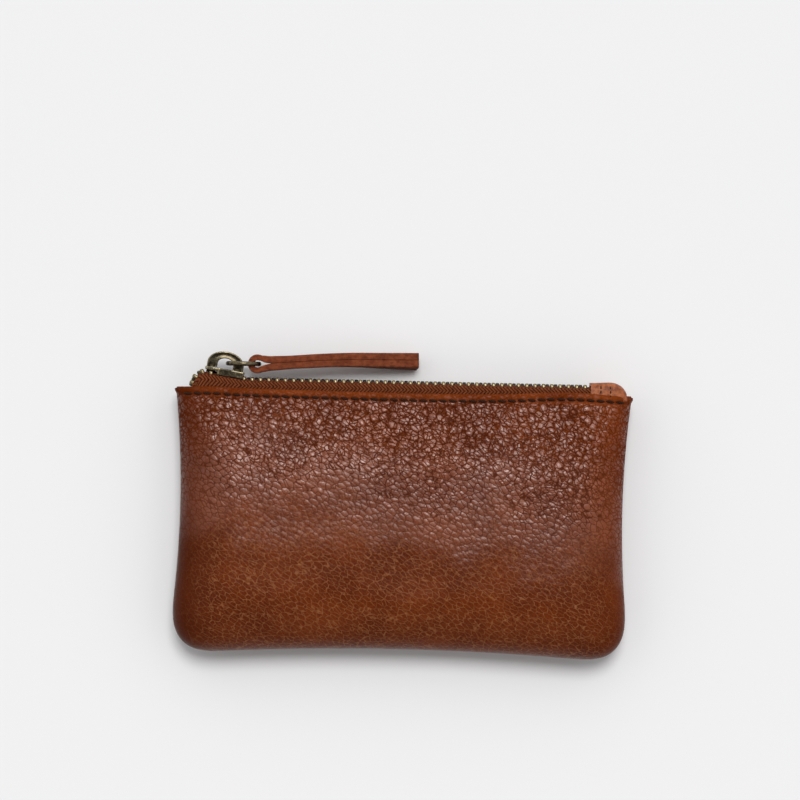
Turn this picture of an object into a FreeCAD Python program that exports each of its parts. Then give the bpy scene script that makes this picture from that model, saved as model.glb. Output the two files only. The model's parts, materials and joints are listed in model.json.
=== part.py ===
"""Small leather zip pouch, lying on its back.

Frame: millimetres, +X to the right along the zip, +Y from the bottom seam towards the zip, +Z up out of
the front panel. The origin is the middle of the flat face that the back panel rests on.
The chain, the slider and the lips are symmetric about the seam plane, which is parallel to XY.
"""
import FreeCAD, Part
import math
import os

import Sketcher
from FreeCAD import Placement, Rotation, Vector

SIZES = {
    # leather shell
    "panel_width": 137.0,       # at the mouth, outside
    "foot_flare": 1.5,          # how much wider each side is at the bottom corners
    "waist_draw": 2.7,          # how far each side is drawn in at half height
    "panel_height": 79.0,       # lip to the lowest point of the bottom corners
    "bottom_sag": 2.4,          # how far the bottom seam is drawn in at its middle
    "corner_radius": 10.0,
    "leather": 1.3,
    "seam_allowance": 5.0,
    "front_puff": 12.0,         # seam plane to the top of the front panel
    "back_puff": 9.0,           # seam plane to the face that the pouch rests on
    "front_side_roll": 20.0,    # width of the rounded border at the sides and bottom
    "back_side_roll": 12.0,
    "front_mouth_roll": 22.0,   # the same towards the mouth, below the lip band
    "back_mouth_roll": 14.0,
    "lip_band": 5.0,            # straight band below the lip
    "band_rise": 0.1,           # how much that band rises away from the lip
    "lining": 0.4,
    "lining_gap": 0.3,          # lining to leather
    # zip
    "chain_rise": 3.0,          # lip to the chain's centre line
    "tape": 0.5,                # woven tape
    "tape_gap": 0.1,            # tape to leather
    "tape_depth": 4.0,          # tape below the lip
    "tape_end_gap": 0.3,        # either end of the tape to the leather beside it
    "tape_right_gap": 0.2,      # what the right end is shorter by
    "tape_fall": 2.2,           # length of the fall at the tape's right end
    "tape_rise": 3.0,           # length of the rise at its left end, up to the slider's nose
    "tape_end_lift": 0.5,       # lip to the chain's centre line at the right end
    "bead": 1.1,                # corded edge, thickness and width
    "bead_inset": 1.3,          # seam plane to the corded edge
    "pitch": 2.5,               # teeth of one row
    "tooth_wide": 1.0,          # along the chain
    "tooth_tall": 2.2,          # across the tape
    "tooth_foot": 2.6,          # seam plane to the foot
    "tooth_head": 0.5,          # head past the seam plane
    "tooth_round": 0.3,         # fillet of the foot
    "row_part": 1.05,           # how far each row is parted at the slider's nose
    "part_start": 1.5,          # slider's middle to the place where the rows start to part
    "part_length": 5.5,         # along which they part
    "top_stop_scale": 1.3,      # top stop's width over a tooth's
    "top_stop_spacing": 0.85,   # top stop to the first tooth, in pitches
    # slider and pull
    "nose_gap": 0.2,            # slider's nose to the highest point of the chain
    "ramp_gap": 1.3,            # slider's tail to the foot of the chain's rise
    "slider_length": 12.0,
    "slider_tilt": 9.0,         # the slider and the chain in it, degrees
    "plate": 1.0,
    "flange": 0.75,
    "channel_gap": 0.15,        # slider to teeth
    "tape_slot": 1.0,           # gap between the flanges
    "skirt_gap": 0.05,          # flange's widest place to the tapes' sewn parts
    "flare_tail": 2.4,          # slider's middle to the start of its flare, towards the tail
    "flare_nose": 3.0,          # and to its end, towards the nose
    "nose_cut_long": 2.6,       # chamfered corners of the nose
    "nose_cut_short": 1.2,
    "nose_cut_wide": 0.5,
    "post_half": 0.45,
    "post_start": 0.6,          # nose to the wedge post
    "post_shoulder": 2.0,
    "post_tip": 3.4,
    "bridge_length": 11.0,
    "bridge_rise": 5.3,         # outer plate to the top of the bridge
    "bridge_foot": 3.1,         # section of either foot in the plane of the bridge
    "bridge_hole_low": 0.2,     # outer plate to the hole
    "bridge_hole_high": 3.2,
    "bridge_thick": 3.0,        # section along Z
    "bridge_round": 0.72,       # height of the round top over the rise
    "hole_round": 1.0,          # height of the hole's round top
    "ring_radius": 4.7,         # to the middle of the wire
    "wire_radius": 0.7,
    "ring_shift": 0.6,          # slider's middle to the wire in the bridge
    "ring_lift": 1.9,           # outer plate to the middle of the ring's wire
    "lobe_radius": 2.95,        # strap where it turns round the ring
    "eye_radius": 1.4,
    "strap_length": 51.0,
    "strap_thick": 4.4,         # both layers
    "strap_width": 5.5,
    "strap_climb": 1.9,         # how far the strap bends away from the pouch
    "strap_floor": 0.4,         # under the strap's end
    "climb_power": 1.3,         # shape of the climb and of the droop along the strap
    "droop_power": 1.4,
    # end tab and thread
    "tab_reach": 12.6,          # right side of the mouth back to the tab's edge
    "tab_leather": 0.9,
    "tab_gap": 0.1,
    "tab_end": 1.6,             # tab's right end to the right side of the mouth
    "tab_fall_long": 4.6,       # the tab's round fall at its right end
    "tab_fall_short": 1.8,
    "tab_lift": 0.15,           # lip to the tab
    "stop_tall": 1.8,           # clamp at the chain's right end, across the tape
    "stop_inset": 1.2,          # tab's left edge to the clamp
    "stop_length": 2.4,
    "stitch_pitch": 3.0,
    "stitch_length": 2.1,
    "thread": 0.6,
    "stitch_drop": 1.5,         # lip to the stitch row
    "stitch_margin": 1.5,       # last stitch to the side of the mouth
    "tab_row_first": 3.0,       # tab's left edge to its two stitch rows
    "tab_row_second": 6.0,
    "tab_stitch_lift": 1.5,     # lip to the first stitch of a row
    "tab_stitch_pitch": 1.8,
    "tab_stitch_length": 1.3,
    "thread_end": 0.1,          # seam thread past the leather on either side
    # worked out in the sheet
    "foot_width": "=panel_width + 2 * foot_flare",
    "lip_half": "=tooth_foot + channel_gap + row_part + flange + skirt_gap + tape + tape_gap + leather",
}

document = FreeCAD.newDocument("zip_pouch")
sheet = document.addObject("Spreadsheet::Sheet", "sizes")
for row, (alias, value) in enumerate(SIZES.items(), start=1):
    sheet.set(f"A{row}", alias)
    sheet.set(f"B{row}", str(value))
    sheet.setAlias(f"B{row}", alias)
document.recompute()


def size(alias):
    """The sheet's value for one named size."""
    return float(sheet.get(alias))


# Places worked out from the sizes.
PAST = 3.0  # how far a cutter runs past what it cuts
SEAM_Z = size("back_puff")
LIP_Y = size("panel_height") / 2
FOOT_Y = -LIP_Y
CHAIN_Y = LIP_Y + size("chain_rise")
MOUTH_X = size("panel_width") / 2
TAB_X = MOUTH_X - size("tab_reach")
TAPE_OUT = size("lip_half") - size("leather") - size("tape_gap")
TAPE_IN = TAPE_OUT - size("tape")
TILT = math.radians(size("slider_tilt"))
HALF_SLIDER = size("slider_length") / 2
HALF_SLIDER_TALL = size("tooth_tall") / 2 + size("channel_gap") + size("plate")


def roll_inset(roll, puff, height):
    """How far a rounded border is drawn in at a height above the seam plane."""
    return roll * (1 - math.sqrt(max(0.0, 1 - (height / puff) ** 2)))


def tape_end(y):
    """The furthest that the sewn tapes may reach along X at a height, between the leather's sides."""
    top = LIP_Y + PAST
    share = (top - y) / (top - FOOT_Y - size("corner_radius"))
    side = MOUTH_X + size("foot_flare") * share - 4 * share * (1 - share) * size("waist_draw")
    wall = size("leather")
    inset = max(roll_inset(size(f"{word}_side_roll"), size(f"{word}_puff") - wall, TAPE_OUT)
                for word in ("front", "back"))
    return side - wall - inset - size("tape_end_gap")


TAPE_RIGHT = tape_end(LIP_Y) - size("tape_right_gap")
TAPE_LEFT = -tape_end(LIP_Y)
NOSE_X = TAPE_LEFT + size("tape_rise")
SLIDER_X = NOSE_X + HALF_SLIDER * math.cos(TILT) + size("nose_gap")
RAMP_X = SLIDER_X + HALF_SLIDER + size("ramp_gap")
SLIDER_Y = CHAIN_Y + (RAMP_X - SLIDER_X) * math.tan(TILT)
NOSE_Y = CHAIN_Y + (RAMP_X - NOSE_X) * math.tan(TILT)


def origin_plane(body, role):
    return next(item for item in body.Origin.OriginFeatures if item.Role == role)


def new_body(name):
    body = document.addObject("PartDesign::Body", name)
    body.Label = name
    return body


def sketch_on(body, name, role, height=0.0, expression=None):
    """A sketch on one of the body's own origin planes, lifted along the plane's normal."""
    sketch = body.newObject("Sketcher::SketchObject", name)
    sketch.AttachmentSupport = (origin_plane(body, role), [""])
    sketch.MapMode = "FlatFace"
    sketch.AttachmentOffset = Placement(Vector(0, 0, height), Rotation())
    if expression:
        sketch.setExpression("AttachmentOffset.Base.z", expression)
    return sketch


def draw_polygon(sketch, points):
    """A closed outline of straight lines, its corners tied together."""
    first = sketch.GeometryCount
    for start, end in zip(points, points[1:] + points[:1]):
        sketch.addGeometry(Part.LineSegment(Vector(*start, 0), Vector(*end, 0)))
    count = len(points)
    for step in range(count):
        follower = first + (step + 1) % count
        sketch.addConstraint(Sketcher.Constraint("Coincident", first + step, 2, follower, 1))


def pad(body, name, sketch, length, midplane=False, reverse=False):
    feature = body.newObject("PartDesign::Pad", name)
    feature.Profile = sketch
    feature.Midplane = midplane
    feature.Reversed = reverse
    feature.setExpression("Length", length)
    return feature


def pocket(body, name, sketch, length):
    """A cut of the whole length, half of it on either side of the sketch."""
    feature = body.newObject("PartDesign::Pocket", name)
    feature.Profile = sketch
    feature.Midplane = True
    feature.setExpression("Length", length)
    return feature


def solid_group(name, solids):
    """Alike pieces that share one node."""
    feature = document.addObject("Part::Feature", name)
    feature.Label = name
    feature.Shape = Part.makeCompound(solids)
    return feature


# ---------------------------------------------------------------- leather shells and lining

def draw_outline(sketch, inset, top):
    """The pouch's outline drawn in by inset: bowed sides, round bottom corners, straight top."""
    mouth = MOUTH_X - inset
    foot = size("foot_width") / 2 - inset
    low = FOOT_Y + inset
    radius = size("corner_radius")
    waist = (mouth + foot) / 2 - size("waist_draw")
    middle = (top + low + radius) / 2
    slack = radius * (1 - math.sqrt(0.5))

    def point(x, y):
        return Vector(x, y, 0)

    edges = [
        Part.Arc(point(mouth, top), point(waist, middle), point(foot, low + radius)),
        Part.Arc(point(foot, low + radius), point(foot - slack, low + slack), point(foot - radius, low)),
        Part.Arc(point(foot - radius, low), point(0, low + size("bottom_sag")), point(radius - foot, low)),
        Part.Arc(point(radius - foot, low), point(slack - foot, low + slack), point(-foot, low + radius)),
        Part.Arc(point(-foot, low + radius), point(-waist, middle), point(-mouth, top)),
        Part.LineSegment(point(-mouth, top), point(mouth, top)),
    ]
    for edge in edges:
        sketch.addGeometry(edge)


def shell_levels(puff, lip, side_roll, mouth_roll, inset, start=0.0):
    """Heights above the seam plane, each with the outline's inset and the outline's top edge."""
    band_end = lip + size("band_rise")
    rest = puff - band_end
    heights = [start, lip / 2, lip, band_end, band_end + rest * 0.5, band_end + rest * 0.85, puff]
    levels = []
    for height in heights:
        side = roll_inset(side_roll, puff, height)
        top = LIP_Y + PAST
        if height > lip:
            share = (height - band_end) / rest
            top = LIP_Y - size("lip_band") - roll_inset(mouth_roll, 1.0, share)
        levels.append((height, inset + side, top))
    return levels


def loft(body, name, kind, levels, side):
    """A ruled loft through the outlines of the levels, above or below the seam plane."""
    sketches = []
    for step, (height, inset, top) in enumerate(levels):
        place = f"sizes.back_puff + {side * height:.6f}"
        sketch = sketch_on(body, f"{name}_{step}", "XY_Plane", SEAM_Z + side * height, place)
        draw_outline(sketch, inset, top)
        sketches.append(sketch)
    feature = body.newObject(kind, name)
    feature.Profile = sketches[0]
    feature.Sections = sketches[1:]
    feature.Ruled = True
    return feature


def half_shell(name, side, puff, side_roll, mouth_roll, wall, lip, inset, allowance):
    """One half of a pouch, hollow and open at the mouth, with an optional seam allowance turned in."""
    body = new_body(name)
    outer = shell_levels(puff, lip, side_roll, mouth_roll, inset)
    loft(body, f"{name}_outside", "PartDesign::AdditiveLoft", outer, side)
    start = wall if allowance else 0.0
    inner = shell_levels(puff - wall, lip - wall, side_roll, mouth_roll, inset + wall, start)
    loft(body, f"{name}_inside", "PartDesign::SubtractiveLoft", inner, side)
    if allowance:
        floor = sketch_on(body, f"{name}_allowance", "XY_Plane", SEAM_Z, "sizes.back_puff")
        draw_outline(floor, inset + size("seam_allowance"), LIP_Y + PAST)
        pocket(body, f"{name}_opening", floor, "sizes.leather * 2")
    mouth = sketch_on(body, f"{name}_mouth", "XY_Plane", SEAM_Z, "sizes.back_puff")
    reach = size("foot_width")
    above = LIP_Y + 2 * PAST
    draw_polygon(mouth, [(-reach, LIP_Y), (reach, LIP_Y), (reach, above), (-reach, above)])
    pocket(body, f"{name}_trim", mouth, "2 * (sizes.front_puff + sizes.back_puff)")
    return body


def make_shells():
    lining_inset = size("seam_allowance") + size("lining_gap") * 2
    lining_loss = size("leather") + size("lining_gap")
    lining_lip = TAPE_IN - size("tape_gap") * 2
    bodies = []
    for word, side in (("front", 1), ("back", -1)):
        puff = size(f"{word}_puff")
        side_roll = size(f"{word}_side_roll")
        mouth_roll = size(f"{word}_mouth_roll")
        bodies.append(half_shell(f"{word}_panel", side, puff, side_roll, mouth_roll, size("leather"),
                                 size("lip_half"), 0.0, True))
        bodies.append(half_shell(f"{word}_lining", side, puff - lining_loss, side_roll, mouth_roll,
                                 size("lining"), lining_lip, lining_inset, False))
    return bodies


# ---------------------------------------------------------------- zip tapes, teeth and stops

def chain_route():
    """The chain's centre line from the left end to the right end, in the XY plane."""
    rise = size("tape_rise")
    return [
        (TAPE_LEFT, LIP_Y + size("tape_end_gap")),
        (NOSE_X - rise * 0.87, NOSE_Y - rise * 0.8),
        (NOSE_X - rise * 0.5, NOSE_Y - rise * 0.2),
        (NOSE_X, NOSE_Y),
        (RAMP_X, CHAIN_Y),
        (TAPE_RIGHT - size("tape_fall"), CHAIN_Y),
        (TAPE_RIGHT, LIP_Y + size("tape_end_lift")),
    ]


def shifted_route(offset):
    """The route moved sideways by offset, mitred at its points."""
    route = [Vector(x, y, 0) for x, y in chain_route()]
    points = []
    for step, here in enumerate(route):
        before = (here - route[step - 1]).normalize() if step else None
        after = (route[step + 1] - here).normalize() if step + 1 < len(route) else None
        along = (before + after).normalize() if before and after else (before or after)
        mitre = 1.0 / max(0.5, along.dot(before or after))
        normal = Vector(-along.y, along.x, 0) * (offset * mitre)
        points.append((here.x + normal.x, here.y + normal.y))
    return points


def make_tape(word, side):
    """A flat band beside the teeth, its corded edge, and the skirt sewn inside the lip."""
    body = new_body(f"{word}_zip_tape")
    reverse = side < 0
    thick = size("tape") / 2
    cord = size("bead") / 2
    inner = size("bead_inset")

    band = sketch_on(body, f"{word}_tape_band", "XY_Plane", SEAM_Z + side * inner,
                     f"sizes.back_puff + {side} * sizes.bead_inset")
    draw_polygon(band, shifted_route(thick) + shifted_route(-thick)[::-1])
    pad(body, f"{word}_tape_flat", band,
        "sizes.lip_half - sizes.leather - sizes.tape_gap - sizes.bead_inset", reverse=reverse)

    edge = sketch_on(body, f"{word}_tape_cord", "XY_Plane", SEAM_Z + side * inner,
                     f"sizes.back_puff + {side} * sizes.bead_inset")
    draw_polygon(edge, shifted_route(cord) + shifted_route(-cord)[::-1])
    pad(body, f"{word}_tape_bead", edge, "sizes.bead", reverse=reverse)

    skirt = sketch_on(body, f"{word}_tape_skirt", "XY_Plane", SEAM_Z + side * TAPE_IN,
                      f"sizes.back_puff + {side} * (sizes.lip_half - sizes.leather - sizes.tape_gap - sizes.tape)")
    low = LIP_Y - size("tape_depth")
    upper = shifted_route(thick)
    reach = tape_end(low)
    draw_polygon(skirt, upper + [(min(upper[-1][0], reach), low), (-reach, low)])
    pad(body, f"{word}_tape_sewn", skirt, "sizes.tape", reverse=reverse)
    return body


def route_point(distance):
    """The place and heading on the chain at a distance from the ramp's top, to the right if positive."""
    route = [Vector(x, y, 0) for x, y in chain_route()]
    top = 3
    if distance >= 0:
        ahead = zip(route[top:], route[top + 1:])
    else:
        ahead = zip(route[top::-1], route[top - 1::-1])
    left = abs(distance)
    for start, end in ahead:
        length = (end - start).Length
        if left <= length:
            break
        left -= length
    along = (end - start).normalize()
    heading = along if distance >= 0 else along * -1
    return start + along * left, math.degrees(math.atan2(heading.y, heading.x))


def parting(x):
    """How far a row stands out from mesh at a place along X: nothing to the slider's right."""
    share = (SLIDER_X + size("part_start") - x) / size("part_length")
    return size("row_part") * min(1.0, max(0.0, share))


def tooth(length_scale=1.0):
    """One tooth of the front row at the origin: foot clamped on the corded edge, head past the middle."""
    wide = size("tooth_wide") * length_scale
    tall = size("tooth_tall")
    foot = size("tooth_foot")
    head = size("tooth_head")
    cord = size("bead")
    web = size("tape")
    inner = size("bead_inset")
    body = Part.makeBox(wide, tall, foot + head, Vector(-wide / 2, -tall / 2, -head))
    edges = [edge for edge in body.Edges if abs(edge.Vertexes[0].Z - foot) < 1e-6
             and abs(edge.Vertexes[-1].Z - foot) < 1e-6]
    body = body.makeFillet(size("tooth_round"), edges)
    cord_slot = Part.makeBox(wide * 2, cord, cord, Vector(-wide, -cord / 2, inner))
    web_slot = Part.makeBox(wide * 2, web, foot, Vector(-wide, -web / 2, inner))
    return body.cut(cord_slot).cut(web_slot)


def place_on_chain(solid, distance, side):
    """A front-row solid set on the chain, mirrored across the seam plane for the back row."""
    spot, heading = route_point(distance)
    moved = solid.copy()
    if side < 0:
        moved = moved.mirror(Vector(0, 0, 0), Vector(0, 0, 1))
    moved.Placement = Placement(
        Vector(spot.x, spot.y, SEAM_Z + side * parting(spot.x)), Rotation(Vector(0, 0, 1), heading)
    ).multiply(moved.Placement)
    return moved


def row_distances(side):
    """Where the teeth of one row stand; the back row is half a pitch behind the front row."""
    pitch = size("pitch")
    first = -pitch + (0 if side > 0 else pitch / 2)
    distances = []
    step = 0
    while route_point(first + step * pitch)[0].x < TAB_X - size("tooth_wide"):
        distances.append(first + step * pitch)
        step += 1
    return distances


def make_rows():
    one_tooth = tooth()
    stop = tooth(size("top_stop_scale"))
    for word, side in (("front", 1), ("back", -1)):
        distances = row_distances(side)
        before = distances[0] - size("pitch") * size("top_stop_spacing")
        solid_group(f"{word}_teeth", [place_on_chain(one_tooth, where, side) for where in distances])
        solid_group(f"{word}_top_stop", [place_on_chain(stop, before, side)])


def make_bottom_stop():
    """The clamp that ends the chain, on both corded edges, under the end tab."""
    body = new_body("bottom_stop")
    sketch = sketch_on(body, "stop_outline", "XY_Plane", SEAM_Z, "sizes.back_puff")
    cord = size("bead") / 2
    tall = size("stop_tall") / 2
    left = TAB_X + size("stop_inset")
    right = left + size("stop_length")
    draw_polygon(sketch, [(left, CHAIN_Y + cord), (right, CHAIN_Y + cord),
                          (right, CHAIN_Y + tall), (left, CHAIN_Y + tall)])
    draw_polygon(sketch, [(left, CHAIN_Y - tall), (right, CHAIN_Y - tall),
                          (right, CHAIN_Y - cord), (left, CHAIN_Y - cord)])
    bridge = sketch_on(body, "stop_web", "XY_Plane", SEAM_Z, "sizes.back_puff")
    draw_polygon(bridge, [(left, CHAIN_Y - tall), (right, CHAIN_Y - tall),
                          (right, CHAIN_Y + tall), (left, CHAIN_Y + tall)])
    pad(body, "stop_middle", bridge, "2 * sizes.bead_inset", midplane=True)
    pad(body, "stop_jaws", sketch, "2 * sizes.tooth_foot", midplane=True)
    return body


# ---------------------------------------------------------------- slider, bridge, ring and strap

def slider_place():
    """The slider's own frame: its middle on the chain, tilted with it."""
    return Placement(Vector(SLIDER_X, SLIDER_Y, SEAM_Z), Rotation(Vector(0, 0, 1), -size("slider_tilt")))


def make_slider_body():
    """Two plates joined by the post, with flanges that hold the teeth; plan drawn in XZ."""
    body = new_body("slider_body")
    tail = size("tooth_foot") + size("channel_gap")
    nose = tail + size("row_part")
    flange = size("flange")
    flare_tail = size("flare_tail")
    flare_nose = -size("flare_nose")
    front = -HALF_SLIDER
    wide = nose + flange

    def mirrored(points):
        return points + [(x, -z) for x, z in reversed(points)]

    outline = sketch_on(body, "slider_plan", "XZ_Plane")
    draw_polygon(outline, mirrored([
        (front, wide - size("nose_cut_long")),
        (front + size("nose_cut_short"), wide - size("nose_cut_wide")),
        (front + size("nose_cut_long"), wide),
        (flare_nose, wide),
        (flare_tail, tail + flange),
        (HALF_SLIDER, tail + flange),
    ]))
    pad(body, "slider_block", outline,
        "sizes.tooth_tall + 2 * (sizes.channel_gap + sizes.plate)", midplane=True)

    channel = sketch_on(body, "slider_channel", "XZ_Plane")
    draw_polygon(channel, mirrored([
        (front - PAST, nose), (flare_nose, nose), (flare_tail, tail), (HALF_SLIDER + PAST, tail)]))
    half = size("post_half")
    start = front + size("post_start")
    shoulder = front + size("post_shoulder")
    tip = front + size("post_tip")
    draw_polygon(channel, [(start, -half), (shoulder, -half), (tip, 0.0), (shoulder, half), (start, half)])
    pocket(body, "slider_hollow", channel, "sizes.tooth_tall + 2 * sizes.channel_gap")

    slots = sketch_on(body, "slider_slots", "XZ_Plane")
    for side in (1, -1):
        near = side * (tail - size("nose_cut_wide"))
        far = side * (wide + PAST)
        draw_polygon(slots, [(front - PAST, near), (HALF_SLIDER + PAST, near),
                             (HALF_SLIDER + PAST, far), (front - PAST, far)])
    pocket(body, "slider_slot", slots, "sizes.tape_slot")
    body.Placement = slider_place()
    return body


def bridge_profile(left, right, low, high, corner):
    """A D lying on its straight side: round on top."""
    middle = (left + right) / 2
    return [
        Part.LineSegment(Vector(left, low, 0), Vector(left, high - corner, 0)),
        Part.Arc(Vector(left, high - corner, 0), Vector(middle, high, 0), Vector(right, high - corner, 0)),
        Part.LineSegment(Vector(right, high - corner, 0), Vector(right, low, 0)),
        Part.LineSegment(Vector(right, low, 0), Vector(left, low, 0)),
    ]


def make_bridge():
    """The D-shaped bridge that stands on the slider's outer plate."""
    body = new_body("slider_bridge")
    sketch = sketch_on(body, "bridge_outline", "XY_Plane")
    half = size("bridge_length") / 2
    foot = size("bridge_foot")
    base = HALF_SLIDER_TALL
    rise = size("bridge_rise")
    for edge in bridge_profile(-half, half, base, base + rise, rise * size("bridge_round")):
        sketch.addGeometry(edge)
    low = base + size("bridge_hole_low")
    high = base + size("bridge_hole_high")
    for edge in bridge_profile(foot - half, half - foot, low, high, size("hole_round")):
        sketch.addGeometry(edge)
    pad(body, "bridge_plate", sketch, "sizes.bridge_thick", midplane=True)
    body.Placement = slider_place()
    return body


def ring_pivot():
    """The middle of the ring's wire where it passes through the bridge."""
    lift = HALF_SLIDER_TALL + size("ring_lift")
    return slider_place().multVec(Vector(size("ring_shift"), lift, 0))


def make_ring():
    ring = document.addObject("Part::Torus", "pull_ring")
    ring.Label = "pull_ring"
    ring.setExpression("Radius1", "sizes.ring_radius")
    ring.setExpression("Radius2", "sizes.wire_radius")
    pivot = ring_pivot()
    ring.Placement = Placement(Vector(pivot.x + size("ring_radius"), pivot.y, SEAM_Z),
                               Rotation(Vector(1, 0, 0), 90))
    return ring


def strap_pivot():
    """The middle of the strap's eye, between the highest and lowest run of the ring's wire in it."""
    radius = size("ring_radius")
    bow = radius - math.sqrt(radius ** 2 - (size("strap_width") / 2) ** 2)
    pivot = ring_pivot()
    return Vector(pivot.x + 2 * radius - bow / 2, pivot.y, SEAM_Z)


def strap_section(share, start, end):
    """The strap's rectangular section at a share of its length: it climbs early and droops late."""
    x = start + (end - start) * share
    y = strap_pivot().y + size("strap_climb") * math.sin(share * math.pi / 2) ** size("climb_power")
    rest = size("strap_width") / 2 + size("strap_floor")
    z = SEAM_Z - (SEAM_Z - rest) * share ** size("droop_power")
    half_y = size("strap_thick") / 2
    half_z = size("strap_width") / 2
    signs = ((-1, -1), (1, -1), (1, 1), (-1, 1))
    corners = [Vector(x, y + a * half_y, z + b * half_z) for a, b in signs]
    return Part.makePolygon(corners + corners[:1])


def make_strap():
    """A strip folded round the ring's wire, its two layers together from there to the free end."""
    pivot = strap_pivot()
    width = size("strap_width")
    low = Vector(pivot.x, pivot.y, pivot.z - width / 2)
    lobe = Part.makeCylinder(size("lobe_radius"), width, low)
    eye = Part.makeCylinder(size("eye_radius"), width + 2 * PAST, low - Vector(0, 0, PAST))
    end = pivot.x - size("lobe_radius") + size("strap_length")
    spans = 6
    sections = [strap_section(step / spans, pivot.x, end) for step in range(spans + 1)]
    tail = Part.makeLoft(sections, True, True)
    strap = document.addObject("Part::Feature", "pull_strap")
    strap.Label = "pull_strap"
    strap.Shape = lobe.fuse(tail).cut(eye)
    return strap


# ---------------------------------------------------------------- end tab and thread

def tab_outline(shrink):
    """The tab's side view: upright left edge, flat top, round fall to the corner of the mouth."""
    top = CHAIN_Y + size("stop_tall") / 2 + size("tab_gap") + size("tab_leather") - shrink
    low = LIP_Y + size("tab_lift") - (PAST if shrink else 0)
    left = TAB_X - (PAST if shrink else 0)
    right = MOUTH_X - size("tab_end") - shrink
    short = size("tab_fall_short")
    return [(left, low), (left, top), (right - size("tab_fall_long"), top), (right - short, top - short),
            (right, low)]


def make_end_tab():
    """A leather piece folded over the end of both tapes."""
    body = new_body("end_tab")
    outer = sketch_on(body, "tab_outside", "XY_Plane", SEAM_Z, "sizes.back_puff")
    draw_polygon(outer, tab_outline(0.0))
    pad(body, "tab_block", outer,
        "2 * (sizes.lip_half - sizes.leather + sizes.tab_leather)", midplane=True)
    inner = sketch_on(body, "tab_inside", "XY_Plane", SEAM_Z, "sizes.back_puff")
    draw_polygon(inner, tab_outline(size("tab_leather")))
    pocket(body, "tab_hollow", inner, "2 * (sizes.lip_half - sizes.leather)")
    return body


def bar_stitch(middle, along, length):
    """One visible stitch: a short thread lying on the leather."""
    radius = size("thread") / 2
    return Part.makeCylinder(radius, length, middle - along * (length / 2), along)


def make_edge_stitches():
    """The rows that hold lip, tape and lining together."""
    half = MOUTH_X - size("stitch_margin")
    count = int(2 * half / size("stitch_pitch"))
    for word, side in (("front", 1), ("back", -1)):
        height = SEAM_Z + side * size("lip_half")
        row = []
        for step in range(count + 1):
            x = (step - count / 2) * size("stitch_pitch")
            middle = Vector(x, LIP_Y - size("stitch_drop"), height)
            row.append(bar_stitch(middle, Vector(1, 0, 0), size("stitch_length")))
        solid_group(f"{word}_edge_stitches", row)


def make_tab_stitches():
    """Two rows across the end tab, on its front and on its back."""
    face = size("lip_half") - size("leather") + size("tab_leather")
    stitches = []
    for side in (1, -1):
        for row_x in (TAB_X + size("tab_row_first"), TAB_X + size("tab_row_second")):
            for step in range(2):
                y = LIP_Y + size("tab_stitch_lift") + step * size("tab_stitch_pitch")
                middle = Vector(row_x, y, SEAM_Z + side * face)
                stitches.append(bar_stitch(middle, Vector(0, 1, 0), size("tab_stitch_length")))
    solid_group("end_tab_stitches", stitches)


def seam_spots():
    """Places of the thread in the seam allowance, along the bowed bottom and both bowed sides."""
    inset = size("seam_allowance") / 2
    pitch = size("stitch_pitch")
    corner = size("corner_radius")
    foot = size("foot_width") / 2 - inset
    mouth = MOUTH_X - inset
    half = foot - corner
    low = FOOT_Y + corner
    high = LIP_Y - size("lip_band")
    spots = []
    across = int(2 * half / pitch)
    for step in range(across + 1):
        x = (step - across / 2) * pitch
        spots.append((x, FOOT_Y + inset + size("bottom_sag") * (1 - (x / half) ** 2)))
    for step in range(int((high - low) / pitch) + 1):
        y = low + step * pitch
        share = (y - low) / (LIP_Y - low)
        bow = 4 * share * (1 - share) * size("waist_draw")
        x = foot + (mouth - foot) * share - bow
        spots += [(x, y), (-x, y)]
    return spots


def make_seam_stitches():
    """Thread through both seam allowances, down the sides and along the bottom."""
    tall = 2 * (size("leather") + size("thread_end"))
    radius = size("thread") / 2
    threads = [Part.makeCylinder(radius, tall, Vector(x, y, SEAM_Z - tall / 2)) for x, y in seam_spots()]
    solid_group("seam_stitches", threads)


# ---------------------------------------------------------------- the whole pouch

make_shells()
make_tape("front", 1)
make_tape("back", -1)
make_rows()
make_bottom_stop()
make_slider_body()
make_bridge()
make_ring()
make_strap()
make_end_tab()
make_edge_stitches()
make_tab_stitches()
make_seam_stitches()
document.recompute()

print("ring pivot", ring_pivot(), "strap pivot", strap_pivot())

for item in document.Objects:
    if "Invalid" in item.State or "Error" in item.State:
        raise RuntimeError(f"{item.Name} failed: {item.State}")

in_a_body = {child.Name for item in document.Objects if item.TypeId == "PartDesign::Body"
             for child in item.Group + item.Origin.OriginFeatures + [item.Origin]}
pieces = [item for item in document.Objects if hasattr(item, "Shape") and item.Name not in in_a_body]
os.makedirs("parts", exist_ok=True)
for piece in pieces:
    shape = piece.Shape
    if shape.isNull() or not shape.isValid() or not shape.Solids:
        raise RuntimeError(f"{piece.Label} has no valid solid")
    shape.exportStep(f"parts/{piece.Label}.step")
    print(f"{piece.Label}: {len(shape.Solids)} solids, {shape.Volume:.1f} mm3")
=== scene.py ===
"""Looks of the leather zip pouch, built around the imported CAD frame.

Metres; MM turns millimetres into them.
"""

import json
import math

import bmesh
import bpy
import numpy as np
from mathutils import Matrix, Vector


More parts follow.
